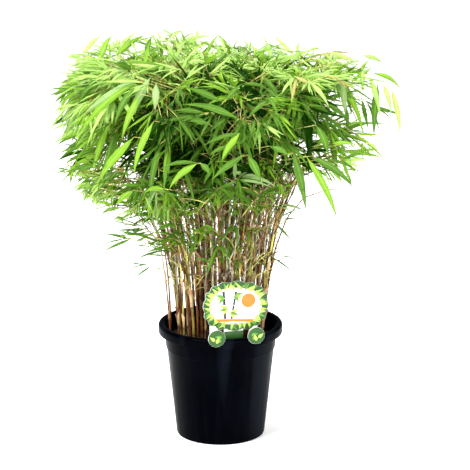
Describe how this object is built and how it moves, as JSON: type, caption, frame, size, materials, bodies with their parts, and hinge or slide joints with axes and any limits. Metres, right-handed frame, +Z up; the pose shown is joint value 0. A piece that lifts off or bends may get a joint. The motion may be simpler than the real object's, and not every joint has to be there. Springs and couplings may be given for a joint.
{
  "type": "potted bamboo",
  "caption": "Small clump of bamboo with a wide, flat-topped crown of drooping leaves, in a round black nursery pot with a plain plant label hooked over its rim.",
  "frame": {"origin": "middle of the pot's underside, on the surface that it stands on", "axes": "+Z up along the pot, -Y towards the front, where the label hangs, +X to the right seen from the front"},
  "size_m": [0.2619, 0.2427, 0.2903],
  "materials": {
    "pot_plastic": "satin",
    "peat": "matte",
    "card": "gloss",
    "cane_olive": "satin",
    "cane_brown": "satin",
    "cane_straw": "satin",
    "leaf_fresh": "satin",
    "leaf_deep": "satin",
    "leaf_lime": "satin"
  },
  "bodies": {
    "root": {"pot": "pot_plastic", "soil": "peat", "label_card": "card", "cane_skirt_01": "cane_olive", "leaves_skirt_01": "leaf_fresh", "cane_skirt_02": "cane_brown", "leaves_skirt_02": "leaf_deep", "cane_skirt_03": "cane_straw", "leaves_skirt_03": "leaf_lime", "cane_skirt_04": "cane_olive", "leaves_skirt_04": "leaf_fresh", "cane_skirt_05": "cane_brown", "leaves_skirt_05": "leaf_deep", "cane_skirt_06": "cane_straw", "leaves_skirt_06": "leaf_lime", "cane_skirt_07": "cane_olive", "leaves_skirt_07": "leaf_fresh", "cane_skirt_08": "cane_brown", "leaves_skirt_08": "leaf_deep", "cane_skirt_09": "cane_straw", "leaves_skirt_09": "leaf_lime", "cane_skirt_10": "cane_olive", "leaves_skirt_10": "leaf_fresh", "cane_shoulder_01": "cane_brown", "leaves_shoulder_01": "leaf_deep", "cane_shoulder_02": "cane_straw", "leaves_shoulder_02": "leaf_lime", "cane_shoulder_03": "cane_olive", "leaves_shoulder_03": "leaf_fresh", "cane_shoulder_04": "cane_brown", "leaves_shoulder_04": "leaf_deep", "cane_shoulder_05": "cane_straw", "leaves_shoulder_05": "leaf_lime", "cane_shoulder_06": "cane_olive", "leaves_shoulder_06": "leaf_fresh", "cane_shoulder_07": "cane_brown", "leaves_shoulder_07": "leaf_deep", "cane_shoulder_08": "cane_straw", "leaves_shoulder_08": "leaf_lime", "cane_shoulder_09": "cane_olive", "leaves_shoulder_09": "leaf_fresh", "cane_crest_01": "cane_brown", "leaves_crest_01": "leaf_deep", "cane_crest_02": "cane_straw", "leaves_crest_02": "leaf_lime", "cane_crest_03": "cane_olive", "leaves_crest_03": "leaf_fresh", "cane_crest_04": "cane_brown", "leaves_crest_04": "leaf_deep", "cane_crest_05": "cane_straw", "leaves_crest_05": "leaf_lime", "cane_heart_01": "cane_olive", "leaves_heart_01": "leaf_fresh", "cane_heart_02": "cane_brown", "leaves_heart_02": "leaf_deep", "cane_heart_03": "cane_straw", "leaves_heart_03": "leaf_lime", "cane_spire_01": "cane_olive", "leaves_spire_01": "leaf_fresh"}
  },
  "joints": []
}
